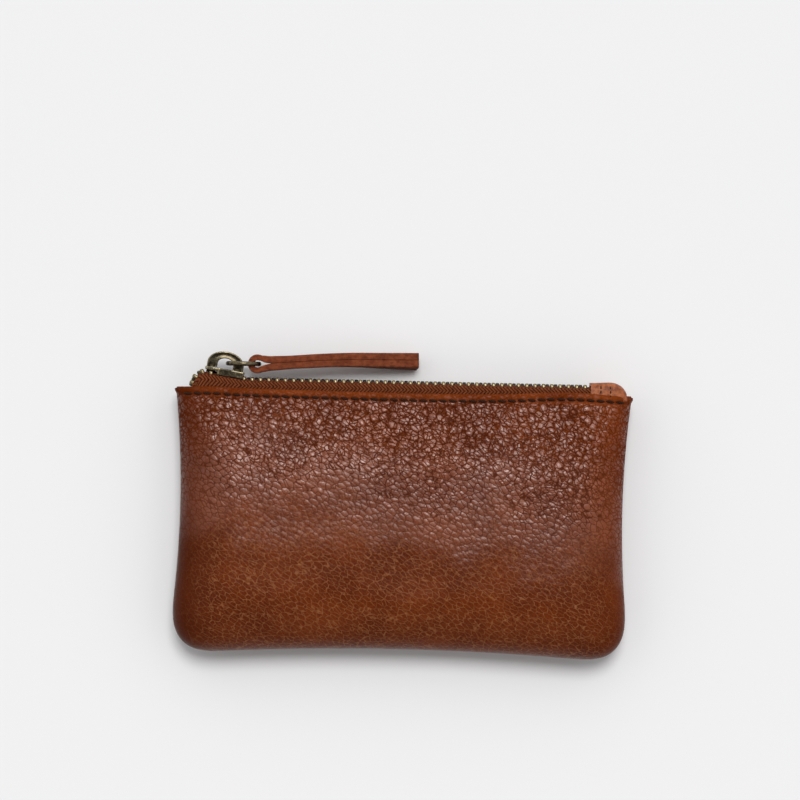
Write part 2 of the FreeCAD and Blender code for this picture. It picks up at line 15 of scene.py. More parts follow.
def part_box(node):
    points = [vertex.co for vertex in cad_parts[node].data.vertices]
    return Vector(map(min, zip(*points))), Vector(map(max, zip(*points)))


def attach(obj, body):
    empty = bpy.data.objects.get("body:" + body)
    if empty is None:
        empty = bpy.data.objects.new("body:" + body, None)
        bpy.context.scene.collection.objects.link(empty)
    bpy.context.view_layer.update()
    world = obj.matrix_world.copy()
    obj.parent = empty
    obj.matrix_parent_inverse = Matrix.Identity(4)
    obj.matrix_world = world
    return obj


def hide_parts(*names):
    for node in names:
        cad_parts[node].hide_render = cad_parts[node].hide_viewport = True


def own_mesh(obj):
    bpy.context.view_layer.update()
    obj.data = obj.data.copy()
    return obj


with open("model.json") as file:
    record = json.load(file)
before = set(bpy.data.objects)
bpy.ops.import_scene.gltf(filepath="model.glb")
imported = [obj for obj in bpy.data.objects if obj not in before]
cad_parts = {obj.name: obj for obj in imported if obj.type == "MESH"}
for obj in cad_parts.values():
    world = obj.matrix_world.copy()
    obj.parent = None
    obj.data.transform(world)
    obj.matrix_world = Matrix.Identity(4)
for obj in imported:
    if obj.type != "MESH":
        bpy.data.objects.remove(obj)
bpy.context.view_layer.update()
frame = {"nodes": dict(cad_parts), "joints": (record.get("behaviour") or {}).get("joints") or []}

MM = 0.001
scatter = np.random.default_rng(7)  # small differences between stitches

# ---------------------------------------------------------------- places taken from the frame, in millimetres


def node_box(name):
    low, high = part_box(name)
    return np.array(low) / MM, np.array(high) / MM


def joint_point(name):
    joint = next(item for item in frame["joints"] if item["name"] == name)
    return np.array(joint["pos_m"]) / MM


front_low, front_high = node_box("front_panel")
back_low, back_high = node_box("back_panel")
SEAM = back_high[2]
LIP = front_high[1]
FOOT = front_low[1]
FRONT_PUFF = front_high[2] - SEAM
BACK_PUFF = SEAM - back_low[2]
HALF_FOOT = front_high[0]
MOUTH_IN = 1.5         # either end of the mouth, in from the foot
HALF_MOUTH = HALF_FOOT - MOUTH_IN
tab_low, tab_high = node_box("end_tab")
RING_PIVOT = joint_point("ring_swing")
STRAP_PIVOT = joint_point("strap_swing")

WAIST_DRAW = 2.7       # how far each side is drawn in at the waist
SAG = 2.4              # the same for the middle of the bottom seam
CORNER = 20.0          # size of a bottom corner
CORNER_POWER = 3.15    # how square it is
LEATHER = 1.2
LIP_HALF = 6.4         # seam plane to the outside of a lip
STITCH_DROP = 1.5      # lip to the stitches below it
STITCH_SPACING = 2.94
CHAIN_RISE = 3.0       # lip to the chain's centre line
SLIDER_IN = 14.1       # slider's middle, in from the mouth's left end
SLIDER_HALF = 6.0
RAMP_GAP = 1.3         # slider's tail to the foot of the chain's rise
NOSE_GAP = 0.2         # slider's nose to the highest point of the chain
TAB_HALF = 6.05        # seam plane to the end tab's face
TAB_ROUND = 2.2        # radius of the tab's upper edges
CHAIN = LIP + CHAIN_RISE
TILT = math.radians(9.0)
SLIDER_X = -HALF_MOUTH + SLIDER_IN
RAMP = SLIDER_X + SLIDER_HALF + RAMP_GAP
NOSE = SLIDER_X - SLIDER_HALF * math.cos(TILT) - NOSE_GAP
SLIDER_Y = CHAIN + (RAMP - SLIDER_X) * math.tan(TILT)
NOSE_Y = CHAIN + (RAMP - NOSE) * math.tan(TILT)
TAB_X = tab_low[0]
PITCH = 2.5
TOOTH_FOOT = 2.6
TOOTH_HEAD = 0.5
BEAD_IN = 1.3


# ---------------------------------------------------------------- mesh helpers

def new_piece(name, vertices, faces, body, material, smooth=True):
    """A mesh object from points in millimetres, riding on a body."""
    mesh = bpy.data.meshes.new(name)
    mesh.from_pydata([tuple(v) for v in np.asarray(vertices) * MM], [], [tuple(map(int, f)) for f in faces])
    mesh.validate()
    mesh.update()
    piece = bpy.data.objects.new(name, mesh)
    bpy.context.scene.collection.objects.link(piece)
    piece.data.materials.append(material)
    if smooth:
        mesh.polygons.foreach_set("use_smooth", [True] * len(mesh.polygons))
    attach(piece, body)
    return piece


def grid_faces(rows, columns, closed_rows=False, closed_columns=False):
    """Quads of a grid of points stored row by row."""
    faces = []
    for i in range(rows if closed_rows else rows - 1):
        for j in range(columns if closed_columns else columns - 1):
            k, m = (i + 1) % rows, (j + 1) % columns
            faces.append((i * columns + j, i * columns + m, k * columns + m, k * columns + j))
    return faces


def tube_faces(rows, around, turned=False):
    """Faces of a tube stored ring by ring, with a cap at both ends."""
    first, last = tuple(range(around)), tuple(range((rows - 1) * around, rows * around))
    caps = [first, last[::-1]] if turned else [first[::-1], last]
    return grid_faces(rows, around, closed_columns=True) + caps


def flipped(faces):
    return [tuple(reversed(face)) for face in faces]


def apply_modifiers(piece):
    """Bakes the piece's modifiers into its mesh."""
    graph = bpy.context.evaluated_depsgraph_get()
    mesh = bpy.data.meshes.new_from_object(piece.evaluated_get(graph))
    piece.modifiers.clear()
    piece.data = mesh


def bevel(piece, width, segments=2, angle=35):
    modifier = piece.modifiers.new("bevel", "BEVEL")
    modifier.width = width * MM
    modifier.segments = segments
    modifier.limit_method = "ANGLE"
    modifier.angle_limit = math.radians(angle)
    modifier.harden_normals = False
    apply_modifiers(piece)


def solidify(piece, thickness):
    modifier = piece.modifiers.new("thickness", "SOLIDIFY")
    modifier.thickness = thickness * MM
    modifier.offset = -1.0
    modifier.use_even_offset = False
    apply_modifiers(piece)


# ---------------------------------------------------------------- material helpers

class Tree:
    """Short forms for building a node tree."""

    def __init__(self, tree):
        self.tree = tree

    def link(self, source, target):
        self.tree.links.new(source, target)

    def put(self, socket, value):
        if isinstance(value, bpy.types.NodeSocket):
            self.link(value, socket)
        else:
            socket.default_value = value

    def math(self, operation, *values, clamp=False):
        node = self.tree.nodes.new("ShaderNodeMath")
        node.operation = operation
        node.use_clamp = clamp
        for socket, value in zip(node.inputs, values):
            self.put(socket, value)
        return node.outputs["Value"]

    def times(self, first, second):
        return self.math("MULTIPLY", first, second)

    def vector_math(self, operation, *values):
        node = self.tree.nodes.new("ShaderNodeVectorMath")
        node.operation = operation
        for socket, value in zip(node.inputs, values):
            self.put(socket, value)
        return node.outputs["Vector"]

    def separate(self, vector):
        node = self.tree.nodes.new("ShaderNodeSeparateXYZ")
        self.link(vector, node.inputs["Vector"])
        return node.outputs["X"], node.outputs["Y"], node.outputs["Z"]

    def ramp(self, value, low, high, to_low=0.0, to_high=1.0):
        node = self.tree.nodes.new("ShaderNodeMapRange")
        node.interpolation_type = "SMOOTHSTEP"
        node.clamp = True
        self.put(node.inputs["Value"], value)
        for key, number in (("From Min", low), ("From Max", high), ("To Min", to_low), ("To Max", to_high)):
            node.inputs[key].default_value = number
        return node.outputs["Result"]


class Nodes(Tree):
    """The same for one material."""

    def __init__(self, name):
        self.material = bpy.data.materials.new(name)
        self.material.use_nodes = True
        super().__init__(self.material.node_tree)
        self.shader = self.tree.nodes["Principled BSDF"]

    def coordinates(self, scale=(1000.0, 1000.0, 1000.0), turn=(0.0, 0.0, 0.0), kind="Object"):
        """Texture coordinates in millimetres, stretched and turned."""
        source = self.tree.nodes.new("ShaderNodeTexCoord")
        mapping = self.tree.nodes.new("ShaderNodeMapping")
        mapping.inputs["Scale"].default_value = scale
        mapping.inputs["Rotation"].default_value = turn
        self.link(source.outputs[kind], mapping.inputs["Vector"])
        return mapping.outputs["Vector"]

    def noise(self, vector, scale, detail=3.0, rough=0.55, colour=False):
        node = self.tree.nodes.new("ShaderNodeTexNoise")
        self.link(vector, node.inputs["Vector"])
        node.inputs["Scale"].default_value = scale
        node.inputs["Detail"].default_value = detail
        node.inputs["Roughness"].default_value = rough
        return node.outputs["Color" if colour else "Fac"]

    def voronoi(self, vector, scale, feature="F1", randomness=1.0):
        node = self.tree.nodes.new("ShaderNodeTexVoronoi")
        node.feature = feature
        self.link(vector, node.inputs["Vector"])
        node.inputs["Scale"].default_value = scale
        node.inputs["Randomness"].default_value = randomness
        return node.outputs["Distance"]

    def combine(self, x, y, z):
        node = self.tree.nodes.new("ShaderNodeCombineXYZ")
        for socket, value in zip(node.inputs, (x, y, z)):
            self.put(socket, value)
        return node.outputs["Vector"]

    def mix(self, share, first, second):
        node = self.tree.nodes.new("ShaderNodeMix")
        node.data_type = "RGBA"
        self.put(node.inputs[0], share)
        for socket, value in ((node.inputs[6], first), (node.inputs[7], second)):
            if isinstance(value, bpy.types.NodeSocket):
                self.link(value, socket)
            else:
                socket.default_value = (*value, 1.0)
        return node.outputs[2]

    def bump(self, height):
        """Height in millimetres."""
        node = self.tree.nodes.new("ShaderNodeBump")
        node.inputs["Strength"].default_value = 1.0
        node.inputs["Distance"].default_value = MM
        self.link(height, node.inputs["Height"])
        self.link(node.outputs["Normal"], self.shader.inputs["Normal"])

    def finish(self, colour=None, roughness=None, **fixed):
        if colour is not None:
            self.put(self.shader.inputs["Base Color"], colour)
        if roughness is not None:
            self.put(self.shader.inputs["Roughness"], roughness)
        for name, value in fixed.items():
            self.shader.inputs[name.replace("_", " ")].default_value = value
        return self.material


def pebbled_leather(name, dark, middle, light):
    """Full-grain leather: round pebbles towards the mouth, a finer lined grain towards the bottom."""
    nodes = Nodes(name)

    def dome(far):
        return nodes.math("SUBTRACT", 1.0, nodes.times(nodes.math("POWER", far, 2.0), 2.0), clamp=True)

    place = nodes.coordinates()
    drift = nodes.noise(place, 0.35, 3.0, colour=True)
    drift = nodes.vector_math("SUBTRACT", drift, (0.5, 0.5, 0.5))
    ripple = nodes.vector_math("SUBTRACT", nodes.noise(place, 1.1, 2.0, colour=True), (0.5, 0.5, 0.5))
    bent = nodes.vector_math("MULTIPLY_ADD", drift, (3.0, 3.0, 3.0), place)
    bent = nodes.vector_math("MULTIPLY_ADD", ripple, (0.8, 0.8, 0.8), bent)
    slanted = nodes.coordinates(turn=(0.0, 0.0, 0.62))
    slanted = nodes.vector_math("MULTIPLY_ADD", drift, (1.6, 1.3, 1.3), slanted)
    slanted = nodes.vector_math("MULTIPLY", slanted, (0.45, 0.80, 0.6))
    lined = nodes.coordinates(turn=(0.0, 0.0, 0.58))
    lined = nodes.vector_math("MULTIPLY_ADD", drift, (1.0, 0.9, 0.9), lined)
    lined = nodes.vector_math("MULTIPLY_ADD", ripple, (0.5, 0.3, 0.3), lined)
    lined = nodes.vector_math("MULTIPLY", lined, (0.42, 0.88, 0.6))
    x, y, _ = nodes.separate(place)
    from_middle = nodes.math("ABSOLUTE", x)

    patches = nodes.noise(place, 0.045, 3.0, 0.6)
    reach = nodes.math("MULTIPLY_ADD", x, 0.10, y)
    reach = nodes.math("MULTIPLY_ADD", patches, 40.0, nodes.math("ADD", reach, 6.0))
    upper = nodes.ramp(reach, 20.0, 58.0)
    high = nodes.ramp(reach, 2.0, 42.0)
    flat_lip = nodes.ramp(y, LIP - 2.4, LIP - 1.2, 1.0, 0.25)
    side_fade = nodes.ramp(from_middle, HALF_MOUTH - 16.0, HALF_MOUTH - 2.0, 1.0, 0.45)
    calm = nodes.times(flat_lip, side_fade)

    big_edge = nodes.voronoi(bent, 0.43, "DISTANCE_TO_EDGE")
    big_far = nodes.voronoi(bent, 0.43)
    big_dome = dome(big_far)
    mid_edge = nodes.voronoi(slanted, 1.0, "DISTANCE_TO_EDGE")
    mid_far = nodes.voronoi(slanted, 1.0)
    mid_dome = dome(mid_far)
    fine_edge = nodes.voronoi(bent, 1.9, "DISTANCE_TO_EDGE")
    fine_dome = nodes.ramp(fine_edge, 0.0, 0.3)
    line_edge = nodes.voronoi(lined, 1.0, "DISTANCE_TO_EDGE", 0.85)
    line = nodes.ramp(line_edge, 0.0, 0.095, 1.0, 0.0)
    line = nodes.times(line, nodes.ramp(nodes.noise(place, 0.9, 2.0), 0.35, 0.62, 0.35, 1.0))
    pores = nodes.noise(place, 3.6, 3.0, 0.65)

    big_height = nodes.times(big_dome, nodes.math("MULTIPLY_ADD", upper, 0.27, 0.02))
    mid_height = nodes.times(mid_dome, nodes.math("MULTIPLY_ADD", high, 0.10, 0.035))
    mid_height = nodes.math("ADD", mid_height, big_height)
    height = nodes.math("MULTIPLY_ADD", fine_dome, 0.010, mid_height)
    low_part = nodes.ramp(high, 0.0, 1.0, 1.0, 0.0)
    line_part = nodes.times(line, low_part)
    height = nodes.math("MULTIPLY_ADD", line_part, 0.02, height)
    height = nodes.times(height, calm)
    height = nodes.math("MULTIPLY_ADD", pores, 0.010, height)
    nodes.bump(height)

    tone = nodes.noise(place, 0.06, 4.0, 0.6)
    speckle = nodes.noise(place, 2.4, 4.0, 0.7)
    base = nodes.mix(nodes.ramp(tone, 0.3, 0.7), dark, middle)
    base = nodes.mix(nodes.ramp(speckle, 0.38, 0.8, 0.0, 0.7), base, light)
    # painted shade: the creases between the big pebbles darkened to near black
    crease_shade = nodes.times(nodes.ramp(big_edge, 0.0, 0.14, 1.0, 0.0), nodes.ramp(upper, 0.1, 1.0))
    crease_shade = nodes.times(nodes.times(crease_shade, calm), nodes.ramp(patches, 0.3, 0.7, 0.25, 0.65))
    base = nodes.mix(crease_shade, base, (0.026, 0.0065, 0.0024))
    pits = nodes.ramp(nodes.noise(place, 2.0, 2.0, 0.6), 0.54, 0.68, 0.0, 0.6)
    base = nodes.mix(nodes.times(pits, calm), base, tuple(0.5 * c for c in dark))
    # painted shade: the creases between the smaller pebbles darkened
    small_crease_shade = nodes.times(nodes.ramp(mid_edge, 0.0, 0.13, 0.8, 0.0), nodes.times(calm, high))
    base = nodes.mix(small_crease_shade, base, tuple(0.42 * c for c in dark))
    base = nodes.mix(nodes.times(line_part, nodes.times(calm, 0.72)), base,
                     (1.4 * light[0], 2.3 * light[1], 4.4 * light[2]))
    # painted shade: both sides of the panel darker, where the surface turns away from the light
    base = nodes.mix(nodes.ramp(from_middle, HALF_MOUTH - 9.0, HALF_MOUTH + 1.0, 0.0, 0.55), base, dark)
    # painted shade: the left end of the leather darker, as if lit from the right
    shaded_left_side = nodes.ramp(x, 2.0 - HALF_MOUTH, 16.0 - HALF_MOUTH, 0.6, 0.0)
    base = nodes.mix(shaded_left_side, base, tuple(0.55 * c for c in dark))
    # painted shade along the stitch groove, its strength read from the panel mesh
    stitch_shade = nodes.tree.nodes.new("ShaderNodeAttribute")
    stitch_shade.attribute_name = "painted_stitch_shade"
    base = nodes.mix(nodes.times(stitch_shade.outputs["Fac"], 0.85), base, tuple(0.4 * c for c in dark))
    # painted sheen: base colour lighter and greyer towards the top of the panel, darker and more saturated
    # towards the bottom
    sheen_red = nodes.ramp(high, 0.1, 0.9, 0.96, 1.35)
    sheen_green = nodes.ramp(high, 0.1, 0.9, 0.87, 1.32)
    sheen_blue = nodes.ramp(high, 0.1, 0.9, 0.75, 1.30)
    base = nodes.vector_math("MULTIPLY", base, nodes.combine(sheen_red, sheen_green, sheen_blue))

    rough = nodes.ramp(nodes.noise(place, 0.5, 3.0), 0.3, 0.75, 0.28, 0.42)
    groove = nodes.math("MAXIMUM", nodes.times(nodes.ramp(big_edge, 0.02, 0.16, 1.0, 0.0), upper),
                        nodes.times(nodes.ramp(mid_edge, 0.01, 0.14, 0.9, 0.0), high))
    rough = nodes.math("MULTIPLY_ADD", groove, 0.4, rough)
    shine = nodes.times(nodes.math("SUBTRACT", 1.0, groove), nodes.ramp(high, 0.22, 1.0, 0.12, 1.10))
    shine = nodes.times(shine, nodes.math("MULTIPLY_ADD", upper, -0.17, 1.0))
    shine = nodes.times(shine, nodes.math("MULTIPLY_ADD", flat_lip, 1.2, -0.2))
    nodes.put(nodes.shader.inputs["Specular IOR Level"], nodes.times(shine, side_fade))
    return nodes.finish(base, rough, Specular_Tint=(1.0, 0.87, 0.82, 1.0))


def smooth_leather(name, dark, light, rough_low, rough_high, grain, shine, streaks=0.35):
    """Leather with a short fine grain, mottled, with some lengthwise streaks."""
    nodes = Nodes(name)
    place = nodes.coordinates()
    along = nodes.coordinates((330.0, 2600.0, 2600.0))
    fibre = nodes.noise(along, 1.1, 5.0, 0.7)
    mottle = nodes.noise(place, 0.6, 4.0, 0.65)
    fuzz = nodes.noise(place, 7.0, 3.0, 0.7)
    share = nodes.math("MULTIPLY_ADD", fibre, streaks, nodes.times(mottle, 1.0 - streaks))
    colour = nodes.mix(nodes.ramp(share, 0.34, 0.66), dark, light)
    colour = nodes.mix(nodes.ramp(fuzz, 0.5, 0.75, 0.0, 0.35), colour, tuple(0.4 * c for c in dark))
    height = nodes.math("MULTIPLY_ADD", fuzz, 0.6, fibre)
    nodes.bump(nodes.times(height, grain))
    return nodes.finish(colour, nodes.ramp(mottle, 0.3, 0.7, rough_low, rough_high), Specular_IOR_Level=shine)


def herringbone_tape(name, dark, light):
    """Woven tape: slanted ribs that change direction band by band, from the piece's own map."""
    nodes = Nodes(name)
    along, across, _ = nodes.separate(nodes.coordinates((1.0, 1.0, 1.0), kind="UV"))
    place = nodes.coordinates()
    wobble = nodes.math("MULTIPLY_ADD", nodes.noise(place, 0.9, 2.0), 0.35, along)
    band = nodes.math("PINGPONG", nodes.math("ADD", across, 0.5), 1.55)
    slant = nodes.math("MULTIPLY_ADD", band, 0.95, wobble)
    rib = nodes.ramp(nodes.math("PINGPONG", slant, 0.54), 0.02, 0.40)
    thread = nodes.ramp(nodes.math("PINGPONG", nodes.math("MULTIPLY_ADD", band, -1.5, along), 0.2), 0.0, 0.2)
    wear = nodes.noise(place, 1.6, 4.0, 0.75)
    share = nodes.times(rib, nodes.ramp(wear, 0.25, 0.7, 0.45, 1.0))
    share = nodes.times(share, nodes.math("MULTIPLY_ADD", thread, 0.35, 0.65))
    colour = nodes.mix(share, dark, light)
    height = nodes.math("MULTIPLY_ADD", thread, 0.08, nodes.times(rib, 0.28))
    nodes.bump(height)
    return nodes.finish(colour, 0.8, Specular_IOR_Level=0.08)


def antique_brass(name, deep, worn, rough_low=0.26, rough_high=0.48, middle=None):
    """Darkened brass, rubbed bright on its edges and high spots; with painted shade near the middle level, if
    given, where the rows of teeth interlock.
    """
    nodes = Nodes(name)
    place = nodes.coordinates()
    geometry = nodes.tree.nodes.new("ShaderNodeNewGeometry")
    edge = nodes.ramp(geometry.outputs["Pointiness"], 0.505, 0.60)
    stain = nodes.noise(place, 0.9, 5.0, 0.7)
    brushed = nodes.noise(nodes.coordinates((900.0, 2600.0, 2600.0)), 1.4, 4.0, 0.7)
    share = nodes.math("MULTIPLY_ADD", edge, 0.8, nodes.ramp(stain, 0.45, 0.75, 0.0, 0.25), clamp=True)
    colour = nodes.mix(share, deep, worn)
    # painted shade: teeth darkened near the seam level, between the interlocking rows
    if middle is not None:
        away = nodes.math("ABSOLUTE", nodes.math("SUBTRACT", nodes.separate(place)[2], middle))
        colour = nodes.mix(nodes.ramp(away, 0.9, 2.1, 0.85, 0.0), colour, tuple(0.3 * c for c in deep))
    nodes.bump(nodes.times(brushed, 0.012))
    rough = nodes.ramp(nodes.math("MULTIPLY_ADD", stain, 0.6, nodes.times(brushed, 0.4)),
                       0.3, 0.7, rough_low, rough_high)
    return nodes.finish(colour, rough, Metallic=1.0)


def waxed_thread(name, dark, light):
    nodes = Nodes(name)
    twist = nodes.coordinates((1000.0, 1000.0, 1000.0), (0.0, 0.0, 0.6))
    x, _, _ = nodes.separate(twist)
    ply = nodes.ramp(nodes.math("PINGPONG", x, 0.22), 0.0, 0.22)
    colour = nodes.mix(ply, dark, light)
    nodes.bump(nodes.times(ply, 0.08))
    return nodes.finish(colour, 0.75, Specular_IOR_Level=0.12)


def lining_cloth(name, dark, light):
    nodes = Nodes(name)
    x, y, _ = nodes.separate(nodes.coordinates())
    warp = nodes.ramp(nodes.math("PINGPONG", x, 0.2), 0.0, 0.2)
    weft = nodes.ramp(nodes.math("PINGPONG", y, 0.2), 0.0, 0.2)
    weave = nodes.times(warp, weft)
    nodes.bump(nodes.times(weave, 0.08))
    return nodes.finish(nodes.mix(weave, dark, light), 0.85, Sheen_Weight=0.1)


LEATHER_SKIN = pebbled_leather("pebbled_leather", (0.083, 0.0125, 0.0016), (0.143, 0.0275, 0.0046),
                               (0.215, 0.056, 0.0130))
STRAP_SKIN = smooth_leather("strap_leather", (0.125, 0.023, 0.0065), (0.27, 0.070, 0.026),
                            0.65, 0.85, 0.30, 0.18)
TAB_SKIN = smooth_leather("tab_leather", (0.165, 0.034, 0.0075), (0.42, 0.125, 0.040),
                          0.34, 0.5, 0.10, 0.30, 0.1)
TAPE_CLOTH = herringbone_tape("zip_tape", (0.066, 0.0120, 0.0026), (0.30, 0.086, 0.030))
BRASS = antique_brass("antique_brass", (0.070, 0.057, 0.036), (0.54, 0.455, 0.275), 0.20, 0.38)
TOOTH_BRASS = antique_brass("tooth_brass", (0.080, 0.062, 0.036), (0.36, 0.295, 0.165), 0.3, 0.48, SEAM)
THREAD = waxed_thread("dark_thread", (0.010, 0.0035, 0.0015), (0.050, 0.016, 0.006))
LINING = lining_cloth("lining_cloth", (0.13, 0.09, 0.06), (0.34, 0.26, 0.18))


# ---------------------------------------------------------------- leather panels

def half_width(y):
    """Half of the pouch's width at a height: drawn in at the waist."""
    share = (y - FOOT) / (LIP - FOOT)
    return HALF_FOOT + (HALF_MOUTH - HALF_FOOT) * share - 4 * share * (1 - share) * WAIST_DRAW


def bottom_rise(x):
    """The bottom seam is drawn in at its middle."""
    return SAG * np.clip(1 - (x / (HALF_FOOT - 8)) ** 2, 0, 1)


def lip_line(x):
    """Small waves in the front lip."""
    return 0.95 * np.exp(-((x - 49) / 15) ** 2) + 0.3 * np.exp(-((x + 58) / 7) ** 2) - 0.2 * np.cos(x / 21)


def cells(x, y, size, seed):
    """Distance to the nearest cell border of a jittered grid of cells, 0 at a border."""
    rng = np.random.default_rng(seed)
    jitter = rng.random((256, 256, 2))
    i = np.floor(x / size).astype(int)
    j = np.floor(y / size).astype(int)
    near = []
    for a in (-1, 0, 1):
        for b in (-1, 0, 1):
            spot = jitter[(i + a) % 256, (j + b) % 256]
            near.append(np.hypot((i + a + spot[..., 0]) * size - x, (j + b + spot[..., 1]) * size - y))
    near = np.sort(np.stack(near), axis=0)
    return near[1] - near[0]


def waves(x, y, seed, count=9, longest=60.0):
    """A sum of slow waves, about -1 to 1."""
    rng = np.random.default_rng(seed)
    total = np.zeros_like(x)
    for _ in range(count):
        angle = rng.uniform(0, math.pi)
        length = longest * rng.uniform(0.3, 1.0)
        phase = rng.uniform(0, 2 * math.pi)
        along = x * math.cos(angle) + y * math.sin(angle)
        total += np.sin(along * 2 * math.pi / length + phase) * length / longest
    return total / math.sqrt(count)


def pillow(puff, roll, lip_half, mouth_reach, inset, columns, rows):
    """Points of one half of the pouch: x, y, height above the seam plane, and the fullness 0 to 1."""
    corner_rows = rows // 4
    angle = np.linspace(math.pi / 2, 0, corner_rows)
    share_y = np.sin(angle) ** (2 / CORNER_POWER)
    share_x = np.cos(angle) ** (2 / CORNER_POWER)
    height = LIP - FOOT - inset
    up = np.concatenate([CORNER * (1 - share_y), np.linspace(CORNER, height, rows - corner_rows + 1)[1:]])
    side_in = np.concatenate([CORNER * (1 - share_x), np.zeros(rows - corner_rows)])
    step = np.linspace(-1, 1, columns)
    u = step * (1.25 - 0.25 * step ** 2)
    level = FOOT + inset + up[:, None] + 0 * u[None, :]
    reach = half_width(level) - inset
    x = u[None, :] * (reach - side_in[:, None])
    fade = np.clip(1 - up / (height * 0.8), 0, 1)[:, None]
    y = level + bottom_rise(x) * fade ** 1.5
    from_side = np.clip(1 - (reach - np.abs(x)) / CORNER, 0, 1)
    from_foot = np.clip(1 - up / CORNER, 0, 1)[:, None]
    edge = np.clip((from_side ** CORNER_POWER + from_foot ** CORNER_POWER) ** (1 / CORNER_POWER), 0, 1)
    spread = np.clip(1 - (1 - edge) * CORNER / roll, 0, 1)
    full = np.sqrt(np.clip(1 - spread ** 2, 0, 1))
    down = np.clip((height - up) / mouth_reach, 0, 1)[:, None]
    ceiling = lip_half / np.clip(1 - down ** 0.9, 0.02, 1)
    z = puff * full
    z = z * ceiling / (z ** 5 + ceiling ** 5) ** 0.2
    return x, y, z, full


def panel(name, side, puff, roll, mouth_reach):
    """One leather half: pillow, folded lip at the mouth, edge turned in at the seam, and its thickness."""
    columns, rows = 270, 158
    x, y, z, full = pillow(puff, roll, LIP_HALF, mouth_reach, 0.0, columns, rows)
    if side > 0:
        z = z + 0.45 * waves(x, y, 3) * full * np.clip((LIP - y) / 12, 0, 1)
        z = z + 0.5 * np.exp(-((x - 20) / 34) ** 2 - ((y - 8) / 15) ** 2) * full
        grain = np.clip((y + 10 + 0.15 * x) / 26 + 0.35 * waves(x, y, 5, longest=38), 0.15, 1)
        bump = np.minimum(cells(x, y, 2.5, 11) / 0.9, 1) ** 0.6
        z = z + 0.06 * grain * (bump - 0.6) * np.clip(full * 1.4, 0, 1)
        y = y + lip_line(x) * np.clip(1 - (LIP - y) / 14, 0, 1) ** 2
        line = LIP - STITCH_DROP + lip_line(x)
        puckers = 0.62 + 0.38 * np.cos(x * 2 * math.pi / STITCH_SPACING)
        z = z - 0.42 * np.exp(-((y - line) / 0.42) ** 2) * puckers * np.clip(full * 2, 0, 1)
        z = z + 0.16 * np.exp(-((y - line + 1.1) / 0.8) ** 2) * puckers * full
        top = puff - 0.02
        z = np.where(z > top, top + (z - top) * 0.15, z)
        # strength of the painted shade along the stitch groove
        stitch_shade = np.exp(-((y - line) / 0.5) ** 2) * (0.45 + 0.55 * puckers) * np.clip(full * 2, 0, 1)
    else:
        # the same painted stitch shade for the back panel
        stitch_shade = np.exp(-((y - LIP + STITCH_DROP) / 0.5) ** 2) * 0.8
        z = z + 0.25 * waves(x, y, 4) * full * (1 - full)
        z = np.minimum(z, puff - 0.02)
    # the folded lip: over the edge and 3 mm down inside
    fold = []
    radius = np.minimum(LEATHER / 2, z[-1] * 0.45)
    for turn in np.linspace(0.15, 1.0, 6) * math.pi:
        over, back = math.sin(turn) * radius, (math.cos(turn) - 1) * radius
        fold.append(np.stack([x[-1], y[-1] + over, z[-1] + back], axis=-1))
    for down in (1.0, 3.0):
        flap = fold[5].copy()
        flap[:, 0] *= 1 - 0.008 * down
        flap[:, 1] -= down
        fold.append(flap)
    points = np.concatenate([np.stack([x, y, z], axis=-1), np.stack(fold)])
    count = len(points)
    points[..., 2] = SEAM + side * np.maximum(points[..., 2], 0.04)
    vertices = points.reshape(-1, 3)
    faces = grid_faces(count, columns)
    # the seam allowance: the edge turned in along the seam plane
    ring = [i * columns for i in range(rows - 1, 0, -1)] + list(range(columns)) + \
        [i * columns + columns - 1 for i in range(1, rows)]
    border = vertices[ring]
    along = np.gradient(border[:, :2], axis=0)
    along /= np.linalg.norm(along, axis=1)[:, None] + 1e-9
    inward = np.stack([-along[:, 1], along[:, 0]], axis=1)
    start = len(vertices)
    rims = []
    for inset, level in ((0.25, 0.03), (1.4, 0.02), (3.2, 0.02)):
        rim = border.copy()
        rim[:, :2] += inward * inset
        rim[:, 2] = SEAM + side * level
        rims.append(rim)
    size = len(ring)
    for k in range(len(rims)):
        inner = [start + k * size + i for i in range(size)]
        outer = ring if k == 0 else [start + (k - 1) * size + i for i in range(size)]
        for i in range(size - 1):
            faces.append((outer[i], inner[i], inner[i + 1], outer[i + 1]))
    vertices = np.concatenate([vertices] + rims)
    if side < 0:
        faces = flipped(faces)
    piece = new_piece(name, vertices, faces, "pouch", LEATHER_SKIN)
    # the painted stitch shade strength, stored as a mesh attribute
    depth = np.zeros(len(vertices))
    depth[:stitch_shade.size] = stitch_shade.ravel()
    piece.data.attributes.new("painted_stitch_shade", "FLOAT", "POINT").data.foreach_set("value", depth)
    solidify(piece, 0.5)
    return piece


def make_panels():
    front = panel("front_leather", 1, FRONT_PUFF, 20.0, 40.0)
    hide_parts("front_panel")
    back = panel("back_leather", -1, BACK_PUFF, 13.0, 22.0)
    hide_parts("back_panel")


def make_linings():
    for word, side, puff, roll in (("front", 1, FRONT_PUFF - 1.7, 18.0), ("back", -1, BACK_PUFF - 1.7, 11.0)):
        x, y, z, full = pillow(puff, roll, 4.0, 26.0, 5.0, 90, 54)
        z = z + 0.2 * waves(x, y, 8) * full * np.clip((LIP - y) / 10, 0, 1)
        z = np.clip(z, 0.06, puff)
        points = np.stack([x, np.minimum(y, LIP - 0.4), SEAM + side * z], axis=-1).reshape(-1, 3)
        faces = grid_faces(54, 90)
        if side < 0:
            faces = flipped(faces)
        piece = new_piece(f"{word}_lining_cloth", points, faces, "pouch", LINING)
        solidify(piece, 0.35)
        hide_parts(f"{word}_lining")


# ---------------------------------------------------------------- zip

